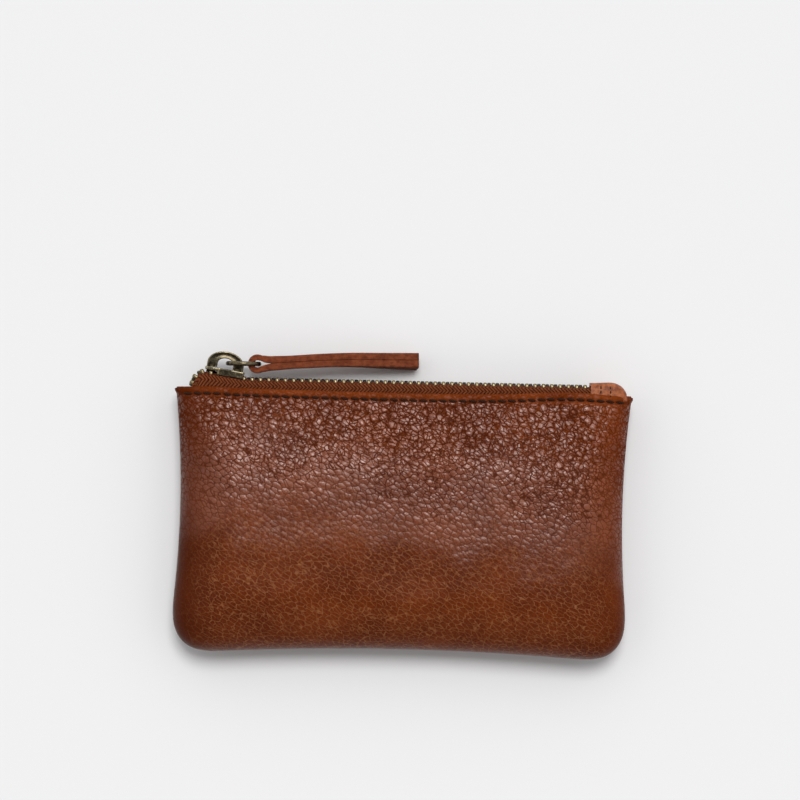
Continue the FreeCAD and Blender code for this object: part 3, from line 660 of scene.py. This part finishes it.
def chain_points():
    """The chain's centre line, left end to right end."""
    return np.array([
        (NOSE - 3.0, LIP + 0.3), (NOSE - 2.6, NOSE_Y - 2.4), (NOSE - 1.5, NOSE_Y - 0.6), (NOSE, NOSE_Y),
        (RAMP, CHAIN), (TAB_X + 5.2, CHAIN), (TAB_X + 7.4, LIP + 0.5)])


def chain_at(distance):
    """Place and heading at a distance along the chain from the ramp's top; left of it is negative."""
    route = chain_points()
    lengths = np.linalg.norm(np.diff(route, axis=0), axis=1)
    ends = np.concatenate([[0], np.cumsum(lengths)])
    spot = distance + ends[3]
    step = int(np.clip(np.searchsorted(ends, spot) - 1, 0, len(lengths) - 1))
    along = (route[step + 1] - route[step]) / lengths[step]
    return route[step] + along * (spot - ends[step]), math.atan2(along[1], along[0])


def chain_height(x):
    """The chain's height at a place along X, softened where it bends."""
    route = chain_points()
    fine = np.linspace(route[0][0], route[-1][0], 600)
    level = np.interp(fine, route[:, 0], route[:, 1])
    soft = np.convolve(np.pad(level, 7, mode="edge"), np.ones(15) / 15, mode="valid")
    return np.interp(x, fine, soft)


def parting(x):
    share = np.clip((SLIDER_X + 1.5 - x) / 5.5, 0, 1)
    return 1.05 * share


def tooth_mesh(scale=1.0):
    """A tooth of the front row: rounded foot, waist over the corded edge, and a domed head."""
    wide, tall = 1.2 * scale, 2.3
    stations = [(-TOOTH_HEAD, 0.62, 0.50), (-TOOTH_HEAD + 0.35, 0.92, 0.80), (0.6, 1.0, 0.92),
                (1.25, 1.0, 1.0), (2.15, 1.0, 1.0), (TOOTH_FOOT - 0.18, 0.92, 0.88), (TOOTH_FOOT, 0.62, 0.6)]
    ring = 16
    vertices = []
    for z, wide_share, tall_share in stations:
        for k in range(ring):
            turn = 2 * math.pi * k / ring
            c, s = math.cos(turn), math.sin(turn)
            x = math.copysign(abs(c) ** 0.45, c) * wide / 2 * wide_share
            y = math.copysign(abs(s) ** 0.45, s) * tall / 2 * tall_share
            vertices.append((x, y, z))
    return np.array(vertices), tube_faces(len(stations), ring)


def set_on_chain(points, distance, side):
    spot, heading = chain_at(distance)
    c, s = math.cos(heading), math.sin(heading)
    x = points[:, 0] * c - points[:, 1] * s + spot[0]
    y = points[:, 0] * s + points[:, 1] * c + spot[1]
    z = SEAM + side * (points[:, 2] + parting(spot[0]))
    return np.stack([x, y, z], axis=-1)


def row_distances(side):
    first = -PITCH + (0 if side > 0 else PITCH / 2)
    found = []
    while chain_at(first + len(found) * PITCH)[0][0] < TAB_X - 1.0:
        found.append(first + len(found) * PITCH)
    return found


SEGMENT_TEETH = 2
OPEN_MOST = 2.9       # how far a row stands from mesh in the middle of the open mouth


def opening(x):
    """How far the row at x would move out when the slider reaches the right end; nothing applies this amount.
    """
    left, right = NOSE - 2.0, TAB_X - 9.0
    share = np.clip((x - left) / (right - left), 0, 1)
    return OPEN_MOST * math.sin(math.pi * share) ** 0.8


def part_with_slider(piece, x, anchored=False):
    """Gives the piece its own mesh where the slider would open the zip; the piece itself is not moved here.
    """
    move = opening(x)
    if move < 0.02:
        return
    if anchored:
        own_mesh(piece)
    else:
        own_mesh(piece)


def make_teeth():
    vertices, faces = tooth_mesh()
    stop_vertices, stop_faces = tooth_mesh(1.5)
    for word, side in (("front", 1), ("back", -1)):
        turned = faces if side > 0 else flipped(faces)
        stop_turned = stop_faces if side > 0 else flipped(stop_faces)
        distances = row_distances(side)
        for start in range(0, len(distances), SEGMENT_TEETH):
            chosen = distances[start:start + SEGMENT_TEETH]
            points, all_faces = [], []
            for number, distance in enumerate(chosen):
                points.append(set_on_chain(vertices, distance, side))
                all_faces += [tuple(i + number * len(vertices) for i in f) for f in turned]
            name = f"{word}_teeth_{start:02d}"
            piece = new_piece(name, np.concatenate(points), all_faces, "pouch", TOOTH_BRASS)
            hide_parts(f"{word}_teeth")
            part_with_slider(piece, float(np.mean([chain_at(d)[0][0] for d in chosen])))
        points = set_on_chain(stop_vertices, distances[0] - PITCH * 0.85, side)
        piece = new_piece(f"{word}_stop", points, stop_turned, "pouch", TOOTH_BRASS)
        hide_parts(f"{word}_top_stop")


def tape_section():
    """The tape across: corded edge, flat part, bend, and the part sewn inside the lip, as (out, drop)."""
    section = [(BEAD_IN, -0.3), (BEAD_IN - 0.05, 0.1), (BEAD_IN + 0.25, 0.48), (BEAD_IN + 0.7, 0.46),
               (BEAD_IN + 1.1, 0.2), (BEAD_IN + 1.5, 0.08)]
    section += [(out, 0.02) for out in np.linspace(3.1, 3.9, 4)]
    for turn in np.linspace(0.15, 1.0, 6) * math.pi / 2:
        section.append((3.9 + 1.15 * math.sin(turn), 0.02 - 1.15 * (1 - math.cos(turn))))
    section += [(5.05, level) for level in np.linspace(-1.35, -7.0, 14)]
    return np.array(section)


def make_tapes():
    section = tape_section()
    lengths = np.concatenate([[0], np.cumsum(np.linalg.norm(np.diff(section, axis=0), axis=1))])
    route = chain_points()
    left, right = route[0][0], route[-1][0]
    slices = 26
    edges = np.linspace(left, right, slices + 1)
    for word, side in (("front", 1), ("back", -1)):
        for number in range(slices):
            xs = np.linspace(edges[number] - 0.02, edges[number + 1] + 0.02, 14)
            rows = []
            for x in xs:
                level = float(chain_height(x))
                bottom = LIP - 3.6
                drop = section[:, 1].copy()
                hanging = drop < -1.0
                drop[hanging] = -1.0 - (drop[hanging] + 1.0) / -6.0 * (level - 1.0 - bottom)
                shift = float(parting(x)) * np.clip((3.9 - section[:, 0]) / 2.6, 0, 1)
                out = SEAM + side * (section[:, 0] + shift)
                rows.append(np.stack([0 * drop + x, level + drop, out], axis=-1))
            points = np.stack(rows)
            faces = grid_faces(len(xs), len(section))
            if side < 0:
                faces = flipped(faces)
            name = f"{word}_tape_{number:02d}"
            piece = new_piece(name, points.reshape(-1, 3), faces, "pouch", TAPE_CLOTH)
            layer = piece.data.uv_layers.new(name="weave")
            spots = [(x, along) for x in xs for along in lengths]
            for loop in piece.data.loops:
                layer.data[loop.index].uv = spots[loop.vertex_index]
            solidify(piece, 0.4)
            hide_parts(f"{word}_zip_tape")
            part_with_slider(piece, float(np.mean(xs)), anchored=True)


# ---------------------------------------------------------------- slider, bridge, ring, strap

def slider_matrix():
    return Matrix.Translation((SLIDER_X, SLIDER_Y, SEAM)) @ Matrix.Rotation(-TILT, 4, "Z")


def place(points, matrix):
    return np.array([tuple(matrix @ Vector(p)) for p in points])


def prism(outline, low, high):
    """A closed outline in X and Z, drawn out along Y between two levels."""
    count = len(outline)
    vertices = []
    for level in (low, high):
        for a, b in outline:
            vertices.append((a, level, b))
    faces = [tuple(range(count)), tuple(range(count, 2 * count))[::-1]]
    faces += [(i, i + count, (i + 1) % count + count, (i + 1) % count) for i in range(count)]
    return vertices, faces


def tidy_normals(piece):
    work = bmesh.new()
    work.from_mesh(piece.data)
    bmesh.ops.recalc_face_normals(work, faces=work.faces)
    work.to_mesh(piece.data)
    work.free()


def inset_faces(piece, *widths):
    """Rings of points inside the large faces, so that wear on the edges fades out on the flats."""
    work = bmesh.new()
    work.from_mesh(piece.data)
    for width in widths:
        large = [face for face in work.faces if face.calc_area() > 2.0 * MM ** 2]
        bmesh.ops.inset_individual(work, faces=large, thickness=width * MM)
    work.to_mesh(piece.data)
    work.free()


def slider_part(name, outline, low, high, width):
    vertices, faces = prism(outline, low, high)
    piece = new_piece(name, place(vertices, slider_matrix()), faces, "slider", BRASS, smooth=False)
    tidy_normals(piece)
    bevel(piece, width, 3)
    inset_faces(piece, 0.14, 0.3)
    return piece


def make_slider():
    channel, plate, slot = 1.25, 1.0, 0.5
    tail, nose = 3.5, 4.4
    half = SLIDER_HALF
    plan = [(-half + 0.9, -nose + 1.3), (-half + 2.4, -nose), (-1.2, -nose + 0.1), (2.2, -tail),
            (half, -tail), (half, tail), (2.2, tail), (-1.2, nose - 0.1), (-half + 2.4, nose),
            (-half + 0.9, nose - 1.3), (-half + 0.35, nose - 2.6), (-half + 0.1, 0.9),
            (-half + 0.1, -0.9), (-half + 0.35, -nose + 2.6)]
    pieces = []
    for side, word in ((1, "outer"), (-1, "inner")):
        low, high = sorted((side * channel, side * (channel + plate)))
        pieces.append(slider_part(f"slider_{word}_plate", plan, low, high, 0.28))
        for edge, hand in ((1, "front"), (-1, "back")):
            outline = [(-1.9, edge * (nose - 0.75)), (-1.9, edge * nose), (-1.2, edge * (nose - 0.05)),
                       (2.2, edge * (tail + 0.02)), (half - 0.02, edge * (tail + 0.02)),
                       (half - 0.02, edge * (tail - 0.7)), (2.2, edge * (tail - 0.7))]
            near, far = (0.16, channel + plate + 0.04) if side > 0 else (-slot, -channel - 0.45)
            low, high = sorted((near, far))
            width = 0.3 if side > 0 else 0.16
            pieces.append(slider_part(f"slider_{word}_flange_{hand}", outline, low, high, width))
    post = [(-half + 0.6, -0.42), (-half + 2.0, -0.42), (-2.6, 0.0), (-half + 2.0, 0.42), (-half + 0.6, 0.42)]
    pieces.append(slider_part("slider_post", post, -channel - 0.1, channel + 0.1, 0.08))
    for piece in pieces:
        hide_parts("slider_body")


def d_outline(half, low, high, corner, count):
    """A D lying on its flat side, as points."""
    points = [(-half, low)]
    for t in np.linspace(math.pi, 0, count):
        points.append((half * math.cos(t), high - corner + corner * math.sin(t)))
    points.append((half, low))
    return points


def make_bridge():
    """The D-shaped bridge: flat face with a raised rim along its outer and inner edges."""
    base, rise = 2.25, 5.3
    count = 22
    outer = d_outline(5.5, base - 0.05, base + rise, rise * 0.72, count)
    inner = d_outline(2.4, base + 0.2, base + 3.2, 1.6, count)
    outer, inner = np.array(outer), np.array(inner)
    shares = [0.0, 0.10, 0.22, 0.78, 0.90, 1.0]
    levels = [1.28, 1.5, 1.34, 1.34, 1.5, 1.28]
    loops = []
    for share, level in zip(shares, levels):
        line = outer * (1 - share) + inner * share
        loops.append(np.concatenate([line, np.full((len(line), 1), level)], axis=1))
    for share, level in zip(shares[::-1], levels[::-1]):
        line = outer * (1 - share) + inner * share
        loops.append(np.concatenate([line, np.full((len(line), 1), -level)], axis=1))
    points = np.concatenate(loops)
    size = len(outer)
    faces = grid_faces(len(loops), size, closed_rows=True)
    ends = [tuple(k * size for k in range(len(loops))), tuple(k * size + size - 1 for k in range(len(loops)))]
    faces += ends
    piece = new_piece("bridge_brass", place(points, slider_matrix()), faces, "slider", BRASS)
    tidy_normals(piece)
    bevel(piece, 0.12, 2, 50)
    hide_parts("slider_bridge")


def make_ring():
    """A bent wire ring, its ends meeting at a fine joint inside the strap."""
    radius, wire = 4.7, 0.68
    centre = np.array([RING_PIVOT[0] + radius, RING_PIVOT[1], SEAM])
    turns, around = 72, 18
    vertices = []
    for i in range(turns):
        t = 2 * math.pi * i / turns
        swell = 1.0 + 0.02 * math.sin(3 * t)
        gap = 1.0 - 0.25 * math.exp(-((math.remainder(t, 2 * math.pi) - 0.35) / 0.03) ** 2)
        for k in range(around):
            a = 2 * math.pi * k / around
            r = radius + wire * gap * swell * math.cos(a)
            vertices.append(centre + np.array([r * math.cos(t), wire * gap * math.sin(a), r * math.sin(t)]))
    piece = new_piece("ring_wire", vertices, grid_faces(turns, around, True, True), "ring", BRASS)
    tidy_normals(piece)
    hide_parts("pull_ring")


def strap_line(share):
    """The strap's middle line from the ring to its free end: climbs early, droops late."""
    behind, length = 2.95, 51.0  # ring's wire to the fold's far side, and the folded strip from there
    end = STRAP_PIVOT[0] - behind + length
    x = STRAP_PIVOT[0] + (end - STRAP_PIVOT[0]) * share
    climb = 1.9 * math.sin(min(1.0, share * 1.5) * math.pi / 2) ** 1.3
    y = STRAP_PIVOT[1] + climb - 0.25 * max(0.0, share - 0.6)
    z = SEAM - (SEAM - 3.15) * share ** 1.4
    return np.array([x, y, z])


def strap_thickness(share):
    """One layer of the strap: full round the ring, pressed thin behind it, thicker again at the free end."""
    return 1.98 + 0.34 * share ** 1.5 + 0.2 * math.exp(-((share - 0.1) / 0.06) ** 2)


def make_strap():
    """One strip folded round the ring: out along the far layer, round the wire, back along the near one."""
    half_wide = 2.7
    eye, outside = 1.15, 2.9  # radii of the fold round the wire
    count = 28
    rows = []
    shares = np.linspace(1.0, 0.052, 60)

    def frame_at(share):
        ahead = strap_line(min(1.0, share + 0.01)) - strap_line(max(0.0, share - 0.01))
        ahead /= np.linalg.norm(ahead)
        normal = np.array([-ahead[1], ahead[0], 0]) / np.hypot(ahead[0], ahead[1])
        across = np.cross(ahead, normal)
        turn = math.radians(11) * np.clip((share - 0.45) / 0.55, 0, 1) ** 1.5
        leaning = normal * math.cos(turn) - across * math.sin(turn)
        return leaning, np.cross(ahead, leaning)

    def add_layer(places, hand):
        """The far layer, hand 1, or the near one, hand -1."""
        for share in places:
            half = strap_thickness(share) / 2
            gap = 0.3 * math.exp(-(share / 0.035) ** 2)
            normal, across = frame_at(share)
            spot = strap_line(share) + hand * normal * (gap + half)
            rows.append((spot, hand * normal, hand * across, half))

    add_layer(shares, 1)
    for turn in np.linspace(math.radians(72), math.radians(288), 30):
        out = np.array([math.cos(turn), math.sin(turn), 0])
        spot = np.array([STRAP_PIVOT[0], STRAP_PIVOT[1], SEAM]) + out * (eye + outside) / 2
        rows.append((spot, out, np.array([0, 0, 1.0]), (outside - eye) / 2))
    add_layer(shares[::-1], -1)
    centres = np.array([row[0] for row in rows])
    for _ in range(4):
        centres[40:-40] = (centres[39:-41] + 2 * centres[40:-40] + centres[41:-39]) / 4
    vertices = []
    for i, (centre, (_, out, across, half_thick)) in enumerate(zip(centres, rows)):
        out, across = np.array(out), np.array(across)
        if across[2] < 0:
            across = -across
        for k in range(count):
            turn = 2 * math.pi * (k + 0.5) / count
            c, s = math.cos(turn), math.sin(turn)
            a = math.copysign(abs(c) ** (0.34 if c > 0 else 0.10), c) * half_thick
            b = math.copysign(abs(s) ** 0.2, s) * half_wide
            rag = 0.05 * math.sin(i * 0.9 + k * 1.3) * abs(s)
            vertices.append(centre + out * a + across * (b + rag))
    faces = tube_faces(len(rows), count, turned=True)
    piece = new_piece("strap_leather_strip", vertices, faces, "strap", STRAP_SKIN)
    tidy_normals(piece)
    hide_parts("pull_strap")


# ---------------------------------------------------------------- end tab and thread

def tab_height(x):
    """Top of the end tab: flat, then falling round to the corner of the mouth."""
    left, right = TAB_X, tab_high[0]
    top = tab_high[1]
    share = np.clip((x - (right - 6.2)) / 6.2, 0, 1)
    fall = (top - LIP - 0.4) * (1 - np.sqrt(np.clip(1 - share ** 2.4, 0, 1)))
    return top - fall - 0.15 * np.cos((x - left) / 2.4)


def tab_side(x, y):
    """Height of the tab's face above the seam plane, and its slope along Y: flat, then round to the top."""
    past = max(0.0, y - float(tab_height(x)) + TAB_ROUND)
    across = math.sqrt(max(0.3, TAB_ROUND ** 2 - past ** 2))
    return TAB_HALF - TAB_ROUND + across, -past / across


def make_tab():
    right = tab_high[0]
    xs = np.concatenate([np.linspace(TAB_X, right - 1.5, 26), np.linspace(right - 1.2, right, 8)])
    half = TAB_HALF
    rows = []
    for x in xs:
        top = float(tab_height(x))
        low = LIP - 0.6
        radius = min(TAB_ROUND, max(0.3, (top - low) * 0.6))
        squeeze = 1 - 0.18 * np.clip((x - (right - 5)) / 5, 0, 1) ** 2
        profile = [(half, low), (half + 0.03, (low + top - radius) / 2)]
        for turn in np.linspace(0, math.pi / 2, 7):
            profile.append((half - radius + radius * math.cos(turn), top - radius + radius * math.sin(turn)))
        profile += [(half - radius - d, top) for d in np.linspace(0.7, half - radius, 5)]
        profile += [(-z, y) for z, y in profile[-2::-1]]
        rows.append([(x, y, SEAM + z * squeeze) for z, y in profile])
    points = np.array(rows)
    points[..., 1] += 0.06 * waves(points[..., 0], points[..., 2], 21, longest=7.0)
    ripple = waves(points[..., 0], points[..., 1], 22, longest=7.0)
    points[..., 2] += np.sign(points[..., 2] - SEAM) * 0.06 * ripple
    faces = grid_faces(len(xs), points.shape[1])
    piece = new_piece("tab_leather_fold", points.reshape(-1, 3), faces, "pouch", TAB_SKIN)
    tidy_normals(piece)
    solidify(piece, 0.8)
    bevel(piece, 0.12, 2, 60)
    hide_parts("end_tab")


def capsule(length, radius, rings=7, around=8):
    """A short fat thread along X, thinner at its ends where it dives into the leather."""
    vertices = []
    for i in range(rings):
        t = i / (rings - 1)
        r = radius * (0.25 + 0.75 * math.sin(math.pi * t) ** 0.5)
        for k in range(around):
            a = 2 * math.pi * k / around
            vertices.append(((t - 0.5) * length, r * math.cos(a), r * math.sin(a) - 0.35 * (2 * t - 1) ** 4))
    return np.array(vertices), tube_faces(rings, around)


def thread_row(name, spots, node, length=2.3, radius=0.33):
    """Stitches at (place, turn in the leather's plane, side, rise along X) joined in one piece."""
    shape, faces = capsule(length, radius)
    points, all_faces = [], []
    for number, (spot, turn, side, rise) in enumerate(spots):
        c, s = math.cos(turn), math.sin(turn)
        moved = np.stack([shape[:, 0] * c - shape[:, 1] * s, shape[:, 0] * s + shape[:, 1] * c,
                          side * (shape[:, 2] + rise * shape[:, 0])], axis=-1) + spot
        points.append(moved)
        all_faces += [tuple(i + number * len(shape) for i in f) for f in faces]
    piece = new_piece(name, np.concatenate(points), all_faces, "pouch", THREAD)
    tidy_normals(piece)
    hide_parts(node)


def lip_height(x, side):
    """Height of the leather above the seam plane on the stitch line."""
    edge = max(0.0, 1 - (half_width(LIP) - abs(x)) / 20.0)
    puff = (FRONT_PUFF if side > 0 else BACK_PUFF) * math.sqrt(max(0.0, 1 - edge ** 2))
    ceiling = LIP_HALF / (1 - (STITCH_DROP / 30) ** 0.9)
    return puff * ceiling / (puff ** 5 + ceiling ** 5) ** 0.2


def make_stitches():
    count = 44
    for word, side in (("front", 1), ("back", -1)):
        spots = []
        for step in range(count + 1):
            x = (step - count / 2) * STITCH_SPACING + scatter.uniform(-0.12, 0.12)
            lift = float(lip_line(np.array(x))) if side > 0 else 0.0
            rise = (lip_height(x + 0.8, side) - lip_height(x - 0.8, side)) / 1.6
            depth = 0.04 + 0.25 * abs(rise)
            level = SEAM + side * (lip_height(x, side) - depth)
            spots.append((np.array([x, LIP - STITCH_DROP + lift, level]),
                          scatter.uniform(-0.2, -0.06), side, rise))
        thread_row(f"{word}_lip_thread", spots, f"{word}_edge_stitches", 2.75, 0.40)
    spots = []
    for side in (1, -1):
        for row_x, slant in ((TAB_X + 3.0, 0.0), (TAB_X + 6.0, 0.12)):
            for step in range(3):
                y = LIP + 0.7 + step * 1.35
                x = row_x - slant * (y - LIP) * 0.5
                z, rise = tab_side(x, y)
                spots.append((np.array([x, y, SEAM + side * z]), math.pi / 2 + slant, side, rise))
    thread_row("tab_thread", spots, "end_tab_stitches", 1.15, 0.2)


def dress_hidden_nodes():
    """CAD nodes that keep their own shape get their material."""
    for name, material in (("bottom_stop", BRASS), ("seam_stitches", THREAD)):
        for slot in frame["nodes"][name].material_slots:
            slot.material = material


# ---------------------------------------------------------------- floor, light, camera

def make_stage():
    mesh = bpy.data.meshes.new("floor")
    mesh.from_pydata([(-3, -3, 0), (3, -3, 0), (3, 3, 0), (-3, 3, 0)], [], [(0, 1, 2, 3)])
    floor = bpy.data.objects.new("floor", mesh)
    bpy.context.scene.collection.objects.link(floor)
    floor.location.z = -0.00002
    nodes = Nodes("pale_floor")
    floor.data.materials.append(nodes.finish((0.86, 0.86, 0.86, 1.0), 0.9, Specular_IOR_Level=0.0))

    world = bpy.data.worlds.new("studio")
    world.use_nodes = True
    sky = Tree(world.node_tree)
    source = sky.tree.nodes.new("ShaderNodeTexCoord")
    _, y, z = sky.separate(source.outputs["Generated"])
    rise = sky.ramp(z, 0.15, 0.45, 0.2, 1.0)
    fall = sky.ramp(z, 0.77, 0.945, 1.0, 0.0)
    toward = sky.ramp(y, -0.7, 0.7, 0.40, 0.88)
    band = sky.times(sky.times(rise, fall), toward)
    back = sky.tree.nodes["Background"]
    back.inputs["Color"].default_value = (0.985, 0.985, 1.0, 1.0)
    sky.link(sky.math("ADD", band, 0.10), back.inputs["Strength"])
    bpy.context.scene.world = world

    def sun(name, strength, angle, elevation, azimuth):
        light = bpy.data.lights.new(name, "SUN")
        light.energy = strength
        light.angle = math.radians(angle)
        lamp = bpy.data.objects.new(name, light)
        bpy.context.scene.collection.objects.link(lamp)
        e, a = math.radians(elevation), math.radians(azimuth)
        toward = Vector((math.cos(e) * math.sin(a), math.cos(e) * math.cos(a), math.sin(e)))
        lamp.rotation_euler = toward.to_track_quat("Z", "Y").to_euler()

    sun("key_softbox", 1.75, 24, 67, 8)


def make_camera():
    """Straight above the pouch, a little turned; metres."""
    sensor, height, pouch_top, view_width = 36.0, 1.2, 0.012, 0.240
    data = bpy.data.cameras.new("camera")
    data.sensor_width = sensor
    data.lens = sensor * (height - pouch_top) / view_width
    camera = bpy.data.objects.new("camera", data)
    bpy.context.scene.collection.objects.link(camera)
    camera.location = (-0.00114, LIP * MM - 0.0017, height)
    camera.rotation_euler = (0.0, 0.0, math.radians(1.32))
    bpy.context.scene.camera = camera
    bpy.context.scene.view_settings.view_transform = "Standard"


make_camera()
make_stage()
make_panels()
make_linings()
make_tapes()
make_teeth()
make_slider()
make_bridge()
make_ring()
make_strap()
make_tab()
make_stitches()
dress_hidden_nodes()
